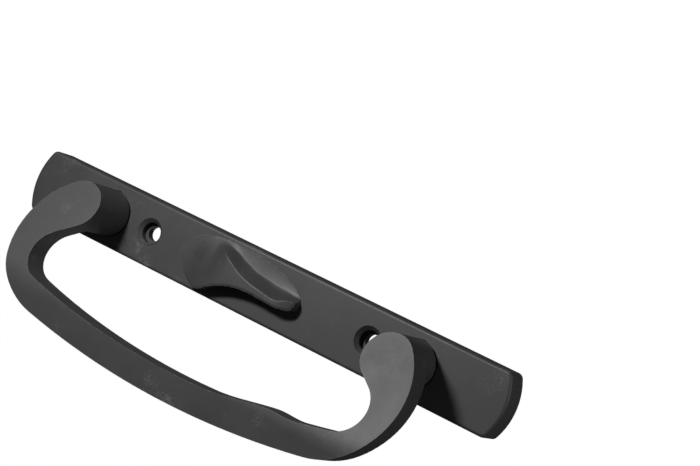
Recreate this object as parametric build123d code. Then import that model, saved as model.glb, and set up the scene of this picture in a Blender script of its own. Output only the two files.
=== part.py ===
"""Sliding patio door handle: a long cast plate, an offset pull and a thumb-turn lever.

Frame: Z runs up the door, X runs across it, and Y runs into it. The back of the plate lies on
Y = 0 and everything the hand touches has negative Y. The origin is midway between the two
mounting holes. A height is a distance in front of the door, along -Y. The grip hangs off the
-X side of the plate, and the lever points down.
"""
from build123d import *
import os
from math import acos, atan2, cos, degrees, radians, sin, sqrt, tan

# Mounting holes, which set the scale of everything else
hole_spacing = 100.0
hole_through_d = 5.6
hole_counterbore_d = 8.0
hole_mouth_d = 10.9
hole_land_height = 6.0
hole_boss_height = 3.0
hole_boss_wall = 2.2

# Plate
plate_length = 214.0
plate_width = 24.5
plate_depth = 10.0
plate_wall = 2.2
plate_end_rise = 3.2
plate_corner_radius = 2.4
plate_edge_radius = 1.2

# Pull: its outline seen from the front
post_spacing = 138.8
post_d = 18.0
bar_outer_reach = 46.9
bar_inner_reach = 36.7
bar_outer_radius = 333.0
bar_inner_radius = 300.0
bar_crown_shift = -2.5
elbow_outer_radius = 27.7
elbow_inner_radius = 9.75
elbow_inner_offset = 64.4
thumb_rest_start = 19.0
thumb_rest_peak = 43.5
thumb_rest_end = 55.7
thumb_rest_rise = 1.55

# Pull: its profile seen from the end
bar_front_height = 44.0
bar_depth = 10.0
bar_flat_start = 35.6
arm_bend_radius = 25.0
head_tilt = 21.0
grip_front_edge_chamfer = 1.2
grip_back_edge_chamfer = 1.0
post_seat_depth = 0.8
post_seat_clearance = 0.1
post_top_overlap = 0.8

# Screws that hold the pull from behind
screw_d = 4.9
screw_bore_clearance = 0.1
screw_hole_d = 5.5
screw_head_d = 9.0
screw_head_height = 3.0
screw_length = 20.0
screw_socket_d = 4.6
screw_socket_depth = 1.8
screw_boss_d = 15.0
screw_boss_height = 5.0
screw_head_edge = 0.6
screw_tip_room = 1.0
lock_washer_d = 8.8
lock_washer_bore = 5.2
lock_washer_height = 1.1
lock_washer_gap = 0.8
lock_washer_split_angle = 20.0
lock_washer_lean_angle = 25.0

# Lever: the pairs are shares of its length from the pivot to the tip and of its hub's half width
pivot_offset = 16.0
lever_length = 36.0
hub_length = 18.5
lever_gap = 0.3
lever_height = 7.2
lever_peak = 29.0
lever_end_height = 6.4
lever_hub_thickness = 0.7
lever_hub_half_width = 10.6
lever_hub_angle = 160.0
lever_tip_width = 1.6
lever_tip_blunting = 0.9
lever_tip_corner_share = (0.90, -0.33)
lever_neck_shares = ((-0.04, -0.77), (0.14, -0.48), (0.34, -0.30), (0.58, -0.23), (0.78, -0.37))
lever_foot_shares = ((0.945, 0.38), (0.82, 0.62), (0.62, 0.84), (0.33, 0.97))
lever_bevel_point_share = (0.945, -0.057)
lever_bevel_fall_angle = 45.0
lever_bevel_turn_angle = 65.0

# Lever's surfaces: the pairs are shares of its length or its hub's half width, and of its height
lever_face_shares = ((-0.25, 0.14), (0.055, 0.40), (0.33, 0.74))
lever_band_shares = ((-0.25, 0.25), (0.055, 0.47), (0.33, 0.76))
lever_band_angle = 7.0
lever_cove_foot_share = (1.04, 0.042)
lever_cove_middle_share = (0.594, 0.458)
lever_cove_top_share = (0.245, 1.11)
shaft_d = 9.5
shaft_end_height = 1.0
shaft_slot_width = 5.2
shaft_slot_thickness = 2.2
shaft_slot_top = 8.0

# Pivot parts
bushing_d = 11.4
bushing_flange_d = 12.6
bushing_flange_height = 1.0
bushing_flange_proud = 0.2
shaft_clearance = 0.05
bushing_clearance = 0.05
pivot_boss_d = 19.0
pivot_boss_height = 5.0
spring_washer_d = 12.8
spring_washer_bore = 10.2
spring_washer_thickness = 0.35
spring_washer_bow = 0.25
spring_washer_gap = 0.3
stop_washer_d = 12.4
stop_washer_thickness = 1.0
stop_tab_reach = 9.5
stop_tab_width = 4.0
stop_flat_cut = 1.0
stop_gap = 0.5
stop_rib_thickness = 2.0
stop_rib_start = 7.0
stop_rib_end = 10.5
clip_d = 12.0
clip_rim_width = 1.3
clip_prong_width = 2.4
clip_prong_angle = 118.0
clip_opening = 6.4
clip_thickness = 0.7
clip_groove_d = 7.6
clip_clearance = 0.05
lever_travel_angle = 90.0

# Tailpiece
tail_width = 5.0
tail_thickness = 2.0
tail_reach = 38.0
tail_end_gap = 0.1
tail_tip_chamfer = 1.2
tail_pin_d = 2.0
tail_pin_length = 8.8
tail_pin_height = 6.6
tail_pin_clearance = 0.04

# How far pieces that are joined reach into each other, and cutting shapes past what they cut
touch = 0.02
cut_margin = 20.0

screw_under_head = screw_boss_height - lock_washer_height
half_spacing = hole_spacing / 2
half_posts = post_spacing / 2
post_radius = post_d / 2
lever_base = plate_depth + lever_gap
spring_washer_room = spring_washer_thickness + spring_washer_bow + spring_washer_gap
stop_washer_front = pivot_boss_height - spring_washer_room
stop_washer_back = stop_washer_front - stop_washer_thickness


def front_plane(height, down=0.0):
    """Plane facing the room at a height, with local x down the door and local y across it."""
    return Plane(origin=(0, -height, -down), x_dir=(0, 0, -1), z_dir=(0, -1, 0))


def post_at(height, length, diameter, down=0.0, across=0.0):
    """Round bar that starts at a height and runs towards the room."""
    return front_plane(height, down) * Pos(0, across, length / 2) * Cylinder(diameter / 2, length)


def arc_between(centre, radius, start, end):
    """Arc about a centre from one direction to another, in degrees."""
    turns = [radians(start), radians((start + end) / 2), radians(end)]
    return ThreePointArc(*[(centre[0] + radius * cos(t), centre[1] + radius * sin(t)) for t in turns])


def heading(start, end):
    """Direction from one point to another, in degrees."""
    return degrees(atan2(end[1] - start[1], end[0] - start[0]))


def scaled(shares, length, height):
    """Points from their shares of a length and of a height or width."""
    return [(along * length, up * height) for along, up in shares]


def plate_outline(inset):
    """Plate seen from the front: two straight sides and two bowed ends."""
    half_length = plate_length / 2 - inset
    half_width = plate_width / 2 - inset
    shoulder = half_length - plate_end_rise
    outline = Polyline((shoulder, half_width), (-shoulder, half_width))
    outline += ThreePointArc((-shoulder, half_width), (-half_length, 0), (-shoulder, -half_width))
    outline += Polyline((-shoulder, -half_width), (shoulder, -half_width))
    outline += ThreePointArc((shoulder, -half_width), (half_length, 0), (shoulder, half_width))
    face = make_face(outline)
    return fillet(face.vertices(), plate_corner_radius - inset / 2)


def make_back_plate():
    """Cast plate, hollow behind, with a boss under each hole, each post and the pivot."""
    body = extrude(front_plane(0) * plate_outline(0), plate_depth)
    front_edges = body.faces().sort_by(Axis.Y)[0].edges()
    body = fillet(front_edges, plate_edge_radius)
    body -= extrude(front_plane(0) * plate_outline(plate_wall), plate_depth - plate_wall)
    inner_face = plate_depth - plate_wall
    for side in (-1, 1):
        hole = side * half_spacing
        boss_d = hole_counterbore_d + 2 * hole_boss_wall
        body += post_at(hole_boss_height, inner_face - hole_boss_height + touch, boss_d, hole)
        post = side * half_posts
        body += post_at(screw_boss_height, inner_face - screw_boss_height + touch, screw_boss_d, post)
    body += post_at(pivot_boss_height, inner_face - pivot_boss_height + touch, pivot_boss_d, -pivot_offset)
    for turn in (0, lever_travel_angle):
        body += stop_rib(turn)
    mouth_depth = (hole_mouth_d - hole_counterbore_d) / 2
    for side in (-1, 1):
        hole = side * half_spacing
        body -= post_at(0, plate_depth, hole_through_d, hole)
        body -= post_at(hole_land_height, plate_depth, hole_counterbore_d, hole)
        mouth = Cone(hole_counterbore_d / 2, hole_mouth_d / 2, mouth_depth)
        body -= front_plane(plate_depth, hole) * Pos(0, 0, -mouth_depth / 2) * mouth
        post = side * half_posts
        body -= post_at(0, plate_depth, screw_hole_d, post)
        seat_d = post_d + 2 * post_seat_clearance
        body -= post_at(plate_depth - post_seat_depth, plate_depth, seat_d, post)
    body -= post_at(0, plate_depth, bushing_d + 2 * bushing_clearance, -pivot_offset)
    flange_seat = plate_depth + bushing_flange_proud - bushing_flange_height
    flange_d = bushing_flange_d + 2 * bushing_clearance
    body -= post_at(flange_seat, plate_depth, flange_d, -pivot_offset)
    return body


def stop_rib(turn):
    """Rib behind the plate that the washer's tab meets at one end of the lever's travel."""
    side = 1 if turn == 0 else -1
    spare = stop_tab_width / 2 + stop_gap
    height = plate_depth - plate_wall + touch - stop_washer_back
    rib = Box(stop_rib_end - stop_rib_start, stop_rib_thickness, height)
    middle = (stop_rib_start + stop_rib_end) / 2
    place = Pos(middle, side * (spare + stop_rib_thickness / 2), height / 2)
    return front_plane(stop_washer_back, -pivot_offset) * Rot(0, 0, -turn) * place * rib


def pull_half(side, thumb_rest):
    """Outline of the pull on one side of its middle, from the bar's outside to its inside."""
    head = (half_posts, 0)
    crown = side * bar_crown_shift
    outer_centre = (crown, bar_outer_radius - bar_outer_reach)
    elbow = tangent_centre(outer_centre, bar_outer_radius - elbow_outer_radius,
                           head, elbow_outer_radius - post_radius)
    inner_centre = (crown, bar_inner_radius - bar_inner_reach)
    corner_rise = sqrt((bar_inner_radius - elbow_inner_radius) ** 2 - (elbow_inner_offset - crown) ** 2)
    corner = (elbow_inner_offset, inner_centre[1] - corner_rise)
    span = sqrt((corner[0] - head[0]) ** 2 + (corner[1] - head[1]) ** 2)
    lean = degrees(acos((post_radius + elbow_inner_radius) / span))
    neck = heading(head, corner) - lean
    outer_turn = heading(outer_centre, elbow)
    head_turn = heading(elbow, head)
    inner_turn = heading(inner_centre, corner)
    edges = [
        arc_between(outer_centre, bar_outer_radius, -90, outer_turn),
        arc_between(elbow, elbow_outer_radius, outer_turn, head_turn),
        arc_between(head, post_radius, head_turn, neck + 360),
    ]
    neck_start = edges[-1] @ 1
    corner_arc = arc_between(corner, elbow_inner_radius, neck + 180, inner_turn)
    edges += [Line(neck_start, corner_arc @ 0), corner_arc]
    if thumb_rest:
        edges += thumb_rest_edges(inner_centre, inner_turn)
    else:
        edges.append(arc_between(inner_centre, bar_inner_radius, inner_turn, -90))
    if side < 0:
        edges = [mirror(edge, Plane.YZ) for edge in edges]
    return edges


def thumb_rest_edges(centre, inner_turn):
    """Inside of the bar with the low swelling that the thumb rests against."""
    start_turn = -90 + degrees(thumb_rest_start / bar_inner_radius)
    end_turn = -90 + degrees(thumb_rest_end / bar_inner_radius)
    far = arc_between(centre, bar_inner_radius, inner_turn, end_turn)
    near = arc_between(centre, bar_inner_radius, start_turn, -90)
    peak_turn = radians(-90 + degrees(thumb_rest_peak / bar_inner_radius))
    peak_radius = bar_inner_radius - thumb_rest_rise
    peak = (centre[0] + peak_radius * cos(peak_turn), centre[1] + peak_radius * sin(peak_turn))
    swell = Spline([far @ 1, peak, near @ 0], tangents=[far % 1, near % 0])
    return [far, swell, near]


def tangent_centre(first, first_reach, second, second_reach):
    """Point at given distances from two centres, on the outer side of the line between them."""
    gap = sqrt((second[0] - first[0]) ** 2 + (second[1] - first[1]) ** 2)
    corner = acos((first_reach ** 2 + gap ** 2 - second_reach ** 2) / (2 * first_reach * gap))
    turn = radians(heading(first, second)) - corner
    return (first[0] + first_reach * cos(turn), first[1] + first_reach * sin(turn))


def pull_profile():
    """Pull seen from the end: a flat bar, a bend and a straight incline down to the heads."""
    tilt = radians(head_tilt)
    bend_across = arm_bend_radius * sin(tilt)
    bend_drop = arm_bend_radius * (1 - cos(tilt))
    flat_end = (-bar_flat_start, bar_front_height)
    bend_middle = (flat_end[0] + arm_bend_radius * sin(tilt / 2),
                   bar_front_height - arm_bend_radius * (1 - cos(tilt / 2)))
    bend_end = (flat_end[0] + bend_across, bar_front_height - bend_drop)
    far = post_radius + cut_margin
    top_end = (far, bend_end[1] - (far - bend_end[0]) * tan(tilt))
    outside = (-bar_outer_reach - cut_margin, bar_front_height)
    drop = (0, -bar_depth)
    front = [Line(outside, flat_end), ThreePointArc(flat_end, bend_middle, bend_end), Line(bend_end, top_end)]
    back = [Pos(*drop) * edge for edge in front]
    ends = [Line(front[0] @ 0, back[0] @ 0), Line(front[-1] @ 1, back[-1] @ 1)]
    return make_face(front + back + ends)


def head_height(across):
    """Height of the pull's front face on the straight incline that carries the heads."""
    tilt = radians(head_tilt)
    incline_start = -bar_flat_start + arm_bend_radius * sin(tilt)
    start_height = bar_front_height - arm_bend_radius * (1 - cos(tilt))
    return start_height - (across - incline_start) * tan(tilt)


def rim_edges(faces):
    """Edges that only one of the given faces has, which together are the rim around them."""
    shared = {}
    for face in faces:
        for edge in face.edges():
            middle = edge.center()
            shared.setdefault((round(middle.X, 3), round(middle.Y, 3), round(middle.Z, 3)), []).append(edge)
    return [edges[0] for edges in shared.values() if len(edges) == 1]


def make_pull_grip():
    """Pull casting: a ribbon cut from the outline and the profile, on two round posts."""
    outline = make_face(pull_half(1, True) + pull_half(-1, False))
    ribbon = extrude(front_plane(0) * outline, 2 * bar_front_height)
    end_plane = Plane(origin=(0, 0, 0), x_dir=(1, 0, 0), z_dir=(0, 0, 1))
    profile = mirror(end_plane * pull_profile(), Plane.XZ)
    ribbon &= extrude(profile, plate_length, both=True)
    facing = cos(radians(head_tilt)) - touch
    front_faces = [face for face in ribbon.faces() if face.normal_at(face.center()).Y < -facing]
    body = chamfer(rim_edges(front_faces), grip_front_edge_chamfer)
    back_faces = [face for face in body.faces() if face.normal_at(face.center()).Y > facing]
    body = chamfer(rim_edges(back_faces), grip_back_edge_chamfer)
    seat = plate_depth - post_seat_depth
    post_top = head_height(-post_radius) - bar_depth + post_top_overlap
    for side in (-1, 1):
        body += post_at(seat, post_top - seat, post_d, side * half_posts)
    bore_depth = screw_under_head + screw_length + screw_tip_room - seat
    for side in (-1, 1):
        body -= post_at(seat, bore_depth, screw_d + screw_bore_clearance, side * half_posts)
    return body


def grip_screw(side):
    """Socket-headed screw that holds one post from behind the plate."""
    down = side * half_posts
    head_start = screw_under_head - screw_head_height
    head = post_at(head_start, screw_head_height, screw_head_d, down)
    head = chamfer(head.edges().sort_by(Axis.Y)[-1], screw_head_edge)
    body = head + post_at(screw_under_head - touch, screw_length + touch, screw_d, down)
    socket = RegularPolygon(screw_socket_d / 2, 6)
    body -= extrude(front_plane(head_start, down) * socket, screw_socket_depth)
    return body


def lock_washer(side):
    """Split spring washer between a screw's head and the plate's boss."""
    down = side * half_posts
    start = screw_under_head
    ring = post_at(start, lock_washer_height, lock_washer_d, down)
    ring -= post_at(start, lock_washer_height, lock_washer_bore, down)
    split = Box(lock_washer_d, lock_washer_gap, cut_margin)
    place = Rot(0, 0, lock_washer_split_angle) * Pos(lock_washer_d / 2, 0, 0)
    return ring - front_plane(start, down) * place * Rot(lock_washer_lean_angle, 0, 0) * split


def lever_outline():
    """Lever seen from the front: an oval hub, a neck waisted on the lip side and a narrow tip."""
    half_width = lever_hub_half_width
    tip_corner = (lever_tip_corner_share[0] * lever_length, lever_tip_corner_share[1] * half_width)
    tip_end = (lever_length, lever_tip_width)
    tip_middle = (lever_length - lever_tip_blunting, (tip_corner[1] + lever_tip_width) / 2)
    hub = EllipticalCenterArc((0, 0), hub_length, half_width, 90, arc_size=lever_hub_angle)
    neck = Spline(hub @ 1, *scaled(lever_neck_shares, lever_length, half_width), tip_corner)
    tip = Spline(tip_corner, tip_middle, tip_end)
    foot = Spline(tip_end, *scaled(lever_foot_shares, lever_length, half_width), hub @ 0)
    edges = [hub, neck, tip, foot]
    return front_plane(lever_base, -pivot_offset) * make_face(edges)


def lever_slab(shares, slope):
    """Everything below a surface that rises to the lever's peak and falls away from the lip."""
    hub = (-hub_length - cut_margin, lever_hub_thickness)
    start = (-hub_length, lever_hub_thickness)
    peak = (lever_peak, lever_height)
    end = (lever_length + cut_margin, lever_end_height)
    rise = Spline(start, *scaled(shares, lever_length, lever_height), peak, tangents=[(1, 0), (1, 0)])
    floor = [(end[0], -cut_margin), (hub[0], -cut_margin)]
    edges = [Line(hub, start), rise, Line(peak, end), Polyline(end, *floor, hub)]
    plane = Plane(origin=(0, -lever_base, pivot_offset), x_dir=(0, 0, -1), z_dir=(-1, 0, 0))
    reach = lever_hub_half_width + cut_margin
    return extrude(plane * Rot(-slope, 0, 0) * make_face(edges), reach, both=True)


def lever_cove():
    """Everything on the lip side of the hollow flank that runs along the lever."""
    shares = (lever_cove_foot_share, lever_cove_middle_share, lever_cove_top_share)
    foot, middle, top = scaled(shares, lever_hub_half_width, lever_height)
    far = lever_hub_half_width + cut_margin
    arc = ThreePointArc(foot, middle, top)
    rest = Polyline(top, (top[0], 2 * top[1]), (-far, 2 * top[1]), (-far, -top[1]), (far, -top[1]),
                    (far, foot[1]), foot)
    plane = Plane(origin=(0, -lever_base, pivot_offset), x_dir=(1, 0, 0), z_dir=(0, 0, -1))
    return extrude(plane * make_face([arc, rest]), 2 * lever_length, both=True)


def lever_bevel():
    """Block whose underside is the steep facet at the tip."""
    size = 2 * lever_length
    across = lever_bevel_point_share[1] * lever_hub_half_width
    corner = Pos(lever_bevel_point_share[0] * lever_length, across, lever_height)
    place = corner * Rot(0, 0, -lever_bevel_turn_angle) * Rot(0, lever_bevel_fall_angle, 0)
    return front_plane(lever_base, -pivot_offset) * place * Pos(0, 0, size / 2) * Box(size, size, size)


def make_thumb_turn():
    """Lever and shaft: the outline cut by the broad face, the band beside it, the cove and the bevel."""
    body = extrude(lever_outline(), 2 * lever_height)
    body &= lever_slab(lever_face_shares, 0)
    body &= lever_slab(lever_band_shares, lever_band_angle)
    body &= lever_cove()
    body -= lever_bevel()
    body += post_at(shaft_end_height, lever_base - shaft_end_height + touch, shaft_d, -pivot_offset)
    body -= shaft_flat(0)
    groove_height = clip_thickness + 2 * clip_clearance
    groove = post_at(stop_washer_back - groove_height, groove_height, 2 * shaft_d, -pivot_offset)
    groove -= post_at(stop_washer_back - groove_height, groove_height, clip_groove_d, -pivot_offset)
    body -= groove
    slot = Rectangle(shaft_slot_width, shaft_slot_thickness)
    body -= extrude(front_plane(0, -pivot_offset) * slot, shaft_slot_top)
    body -= cross_bore()
    return body


def shaft_flat(clearance):
    """Block that cuts the flat on the shaft's end, or that fills it in the washer's bore."""
    reach = shaft_d
    depth = stop_washer_front - shaft_end_height
    block = Box(2 * reach, reach, depth)
    across = shaft_d / 2 - stop_flat_cut + clearance + reach / 2
    return front_plane(shaft_end_height, -pivot_offset) * Pos(0, across, depth / 2) * block


def cross_bore():
    """Bore for the cross pin through the shaft and the tailpiece."""
    bore = Cylinder(tail_pin_d / 2 + tail_pin_clearance, 2 * shaft_d)
    return front_plane(tail_pin_height, -pivot_offset) * Rot(90, 0, 0) * bore


def make_pivot_bushing():
    """Flanged bearing that the lever's shaft runs in."""
    flange_top = plate_depth + bushing_flange_proud
    flange_start = flange_top - bushing_flange_height
    body = post_at(flange_start, bushing_flange_height, bushing_flange_d, -pivot_offset)
    body += post_at(pivot_boss_height, flange_start - pivot_boss_height + touch, bushing_d, -pivot_offset)
    body -= post_at(0, flange_top, shaft_d + 2 * shaft_clearance, -pivot_offset)
    return body


def make_spring_washer():
    """Bowed spring washer: a tube cut from a curved sheet, with its crown towards the washer."""
    radius = spring_washer_d / 2
    front = [(-radius, 0), (0, -spring_washer_bow), (radius, 0)]
    back = [(x, height - spring_washer_thickness) for x, height in front]
    edges = [ThreePointArc(*front), Line(front[2], back[2]), ThreePointArc(*back), Line(back[0], front[0])]
    plane = Plane(origin=(0, -pivot_boss_height, pivot_offset), x_dir=(1, 0, 0), z_dir=(0, 0, -1))
    sheet = extrude(plane * make_face(edges), spring_washer_d, both=True)
    ring = post_at(0, 2 * pivot_boss_height, spring_washer_d, -pivot_offset)
    ring -= post_at(0, 2 * pivot_boss_height, spring_washer_bore, -pivot_offset)
    return sheet & ring


def make_stop_washer():
    """Washer keyed to the shaft by a flat, with the tab that limits the lever's travel."""
    body = post_at(stop_washer_back, stop_washer_thickness, stop_washer_d, -pivot_offset)
    tab = Box(stop_tab_reach, stop_tab_width, stop_washer_thickness)
    place = Pos(stop_tab_reach / 2, 0, stop_washer_thickness / 2)
    body += front_plane(stop_washer_back, -pivot_offset) * place * tab
    bore = post_at(0, 2 * pivot_boss_height, shaft_d + 2 * clip_clearance, -pivot_offset)
    bore -= shaft_flat(clip_clearance)
    return body - bore


def make_retaining_clip():
    """Clip with three prongs in the shaft's groove and an opening to one side."""
    start = stop_washer_back - clip_clearance - clip_thickness
    inner_d = clip_d - 2 * clip_rim_width
    plane = front_plane(start, -pivot_offset)
    shape = Circle(clip_d / 2) - Circle(inner_d / 2)
    shape -= Pos(clip_d / 2, 0) * Rectangle(clip_d, clip_opening)
    prong = Pos(inner_d / 4 + clip_rim_width / 4, 0) * Rectangle(inner_d / 2, clip_prong_width)
    for step in (-1, 0, 1):
        shape += Rot(0, 0, 180 + step * clip_prong_angle) * prong
    shape -= Circle(clip_groove_d / 2 + clip_clearance)
    return extrude(plane * shape, clip_thickness)


def make_tailpiece():
    """Flat blade from the shaft's slot back into the door, with the corners of its end cut off."""
    top = shaft_slot_top - tail_end_gap
    half = tail_width / 2
    tip = half - tail_tip_chamfer
    shoulder = tail_reach - tail_tip_chamfer
    corners = [(-half, -top), (half, -top), (half, shoulder), (tip, tail_reach), (-tip, tail_reach),
               (-half, shoulder)]
    side_plane = Plane(origin=(0, 0, pivot_offset), x_dir=(0, 0, -1), z_dir=(1, 0, 0))
    blade = extrude(side_plane * make_face(Polyline(*corners, close=True)), tail_thickness / 2, both=True)
    return blade - cross_bore()


def make_tailpiece_pin():
    """Pin through the shaft and the tailpiece, kept in by the bushing around the shaft."""
    pin = Cylinder(tail_pin_d / 2, tail_pin_length)
    return front_plane(tail_pin_height, -pivot_offset) * Rot(90, 0, 0) * pin


def main():
    """Build every piece and write each to a file of its own."""
    os.makedirs("parts", exist_ok=True)
    pieces = {
        "back_plate": make_back_plate(),
        "pull_grip": make_pull_grip(),
        "grip_screws": Compound([grip_screw(side) for side in (-1, 1)]),
        "lock_washers": Compound([lock_washer(side) for side in (-1, 1)]),
        "thumb_turn": make_thumb_turn(),
        "pivot_bushing": make_pivot_bushing(),
        "spring_washer": make_spring_washer(),
        "stop_washer": make_stop_washer(),
        "retaining_clip": make_retaining_clip(),
        "tailpiece": make_tailpiece(),
        "tailpiece_pin": make_tailpiece_pin(),
    }
    for name, piece in pieces.items():
        export_step(piece, f"parts/{name}.step")


main()
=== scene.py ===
"""Sliding patio door handle: the looks of its castings, lever and fastenings, in metres.

The handle hangs on a door with +Z up and the hand's side towards -Y. The camera looks at it as
it lies on a pale surface, lit by soft lamps in front, below and behind, and by a plain room.
"""

import logging
import math
from collections.abc import Callable
from dataclasses import dataclass
from enum import Enum
from typing import Any

import bpy
from mathutils import Matrix, Vector
from mathutils.geometry import interpolate_bezier

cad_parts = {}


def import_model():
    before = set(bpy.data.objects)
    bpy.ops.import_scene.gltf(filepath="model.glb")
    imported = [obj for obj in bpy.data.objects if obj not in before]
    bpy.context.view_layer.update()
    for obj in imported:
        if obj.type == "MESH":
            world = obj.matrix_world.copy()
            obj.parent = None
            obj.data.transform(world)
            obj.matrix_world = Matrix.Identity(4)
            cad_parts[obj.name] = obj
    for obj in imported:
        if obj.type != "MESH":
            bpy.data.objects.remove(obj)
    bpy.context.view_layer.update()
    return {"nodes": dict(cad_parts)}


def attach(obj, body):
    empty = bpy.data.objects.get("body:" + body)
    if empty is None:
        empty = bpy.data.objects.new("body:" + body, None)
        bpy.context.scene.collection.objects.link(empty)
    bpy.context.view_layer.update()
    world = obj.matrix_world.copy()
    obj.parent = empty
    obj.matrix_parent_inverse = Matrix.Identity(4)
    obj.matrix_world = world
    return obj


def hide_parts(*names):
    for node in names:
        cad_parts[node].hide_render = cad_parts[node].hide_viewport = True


log = logging.getLogger("patio_handle")

Rgb = tuple[float, float, float]
Point = tuple[float, float, float]
Curve = tuple[tuple[float, float], ...]
Socket = bpy.types.NodeSocket
Node = bpy.types.Node
Material = bpy.types.Material
Piece = bpy.types.Object
# A metre in mm: the castings' lengths are given in mm, and their meshes are in metres.
METRE = 1000
# How near each other two points of a finished piece, or of an outline, merge, in metres.
DOUBLES = 0.000002
OUTLINE_DOUBLES = 0.00002
# How far apart a node sheet sets its nodes.
COLUMN_WIDTH = 180


class Slot(Enum):
    """The record's material slot for the pieces that are modelled here; this script does not use
    it.
    """

    COAT = "satin_black"


class Body(Enum):
    """Bodies of the frame that pieces ride on."""

    HANDLE = "handle"
    LEVER = "lever"


class Join(Enum):
    """What a tool does to a piece."""

    UNION = "UNION"
    DIFFERENCE = "DIFFERENCE"
    INTERSECT = "INTERSECT"


class NodeSheet:
    """A node tree that is filled from left to right, one named node at a time."""

    def __init__(self, tree: bpy.types.NodeTree) -> None:
        """Take a tree to fill.

        Args:
            tree: the node tree of a material, a world or a group.
        """
        self.tree = tree
        self.column = 0

    def add(self, kind: str, label: str, *sources: Any, **values: Any) -> Node:
        """Add a node.

        Args:
            kind: the node's type in Blender.
            label: its plain name.
            sources: what feeds its first inputs, in their order.
            values: settings of the node, and what feeds its other inputs, by the input's name
                with spaces as underscores.

        Returns:
            The new node.
        """
        node = self.tree.nodes.new(kind)
        node.label = label
        node.location = (self.column * COLUMN_WIDTH, 0)
        self.column += 1
        for name, value in values.items():
            if hasattr(node, name):
                setattr(node, name, value)
            else:
                self.feed(value, node.inputs[name.replace("_", " ")])
        for value, socket in zip(sources, node.inputs):
            self.feed(value, socket)
        return node

    def feed(self, value: Any, target: Socket) -> None:
        """Feed an input.

        Args:
            value: a socket to link it to, or a number or a colour to set it to.
            target: the input.
        """
        if isinstance(value, Socket):
            self.tree.links.new(value, target)
        elif isinstance(value, tuple):
            target.default_value = (*value, 1.0)
        else:
            target.default_value = value

    def math(self, operation: str, label: str, first: Any, second: Any = 0.0) -> Socket:
        """Work out one number from two.

        Args:
            operation: the sum's name in Blender, such as MULTIPLY.
            label: what the result is.
            first: a socket or a number.
            second: a socket or a number.

        Returns:
            The socket of the result, held between 0 and 1.
        """
        return self.add("ShaderNodeMath", label, first, second, operation=operation,
                        use_clamp=True).outputs[0]

    def noise(self, label: str, place: Socket, **values: Any) -> Socket:
        """Add a noise.

        Args:
            label: what the noise is.
            place: where it is read.
            values: its other inputs.

        Returns:
            The socket of the noise.
        """
        return self.add("ShaderNodeTexNoise", label, place, **values).outputs["Fac"]

    def band(self, value: Socket, low: Any, high: Any, label: str, **ends: float) -> Socket:
        """Stretch the values between two limits smoothly to 0 and 1.

        Args:
            value: the socket to stretch.
            low: the value that becomes 0, a socket or a number.
            high: the value that becomes 1, a socket or a number.
            label: what the result is.
            ends: To_Min and To_Max, for other results than 0 and 1.

        Returns:
            The socket of the result.
        """
        return self.add("ShaderNodeMapRange", label, value, low, high, **ends,
                        interpolation_type="SMOOTHSTEP").outputs["Result"]

    def mix(self, label: str, share: Any, first: Any, second: Any) -> Socket:
        """Blend two colours.

        Args:
            label: what the result is.
            share: a socket or a number, 0 for the first colour and 1 for the second.
            first: a socket or a colour.
            second: a socket or a colour.

        Returns:
            The socket of the blended colour.
        """
        node = self.add("ShaderNodeMix", label, data_type="RGBA")
        for index, value in ((0, share), (6, first), (7, second)):
            self.feed(value, node.inputs[index])
        return node.outputs[2]


class SurfaceGroup:
    """A shader node group that several finishes share: it gives masks and heights only."""

    name = "surface_group"
    inputs: dict[str, float] = {}
    outputs: tuple[str, ...] = ()

    def tree(self) -> bpy.types.NodeTree:
        """Find the group's tree, or build it on the first call.

        Returns:
            The group's node tree.
        """
        found = bpy.data.node_groups.get(self.name)
        if found:
            return found
        tree = bpy.data.node_groups.new(self.name, "ShaderNodeTree")
        kind = "NodeSocketFloat"
        for label, default in self.inputs.items():
            socket = tree.interface.new_socket(label, in_out="INPUT", socket_type=kind)
            socket.default_value = default
        for label in self.outputs:
            tree.interface.new_socket(label, in_out="OUTPUT", socket_type=kind)
        sheet = NodeSheet(tree)
        given = sheet.add("NodeGroupInput", "given").outputs
        place = sheet.add("ShaderNodeTexCoord", "place").outputs["Object"]
        made = self.fill(sheet, given, place)
        result = sheet.add("NodeGroupOutput", "result")
        for label, socket in made.items():
            sheet.feed(socket, result.inputs[label])
        return tree

    def fill(self, sheet: NodeSheet, given: Any, place: Socket) -> dict[str, Socket]:
        """Fill the group.

        Args:
            sheet: the group's nodes.
            given: the group's inputs by name.
            place: the place on the piece, in its own axes.

        Returns:
            The group's outputs by name.
        """
        raise NotImplementedError

    def use(self, sheet: NodeSheet, **values: float) -> Node:
        """Put the group into a material with its own values.

        Args:
            sheet: the material's nodes.
            values: the group's inputs, with spaces as underscores.

        Returns:
            The group's node.
        """
        return sheet.add("ShaderNodeGroup", self.name, node_tree=self.tree(), **values)


class CoatGrain(SurfaceGroup):
    """Orange peel and fine grain of a baked coat as a height, and a slow cloud of tone."""

    name = "coat_grain"
    inputs = {"Peel Scale": 900.0, "Grain Scale": 4200.0}
    outputs = ("Height", "Cloud")

    def fill(self, sheet: NodeSheet, given: Any, place: Socket) -> dict[str, Socket]:
        """Blend a coarse and a fine noise, as SurfaceGroup.fill says."""
        peel = sheet.noise("orange peel", place, Scale=given["Peel Scale"], Detail=2.0,
                           Roughness=0.5)
        grain = sheet.noise("fine grain", place, Scale=given["Grain Scale"], Detail=3.0,
                            Roughness=0.7)
        cloud = sheet.noise("cloud of tone", place, Scale=70.0, Detail=3.0, Roughness=0.55)
        return {"Height": sheet.mix("peel and grain", 0.4, peel, grain), "Cloud": cloud}


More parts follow.
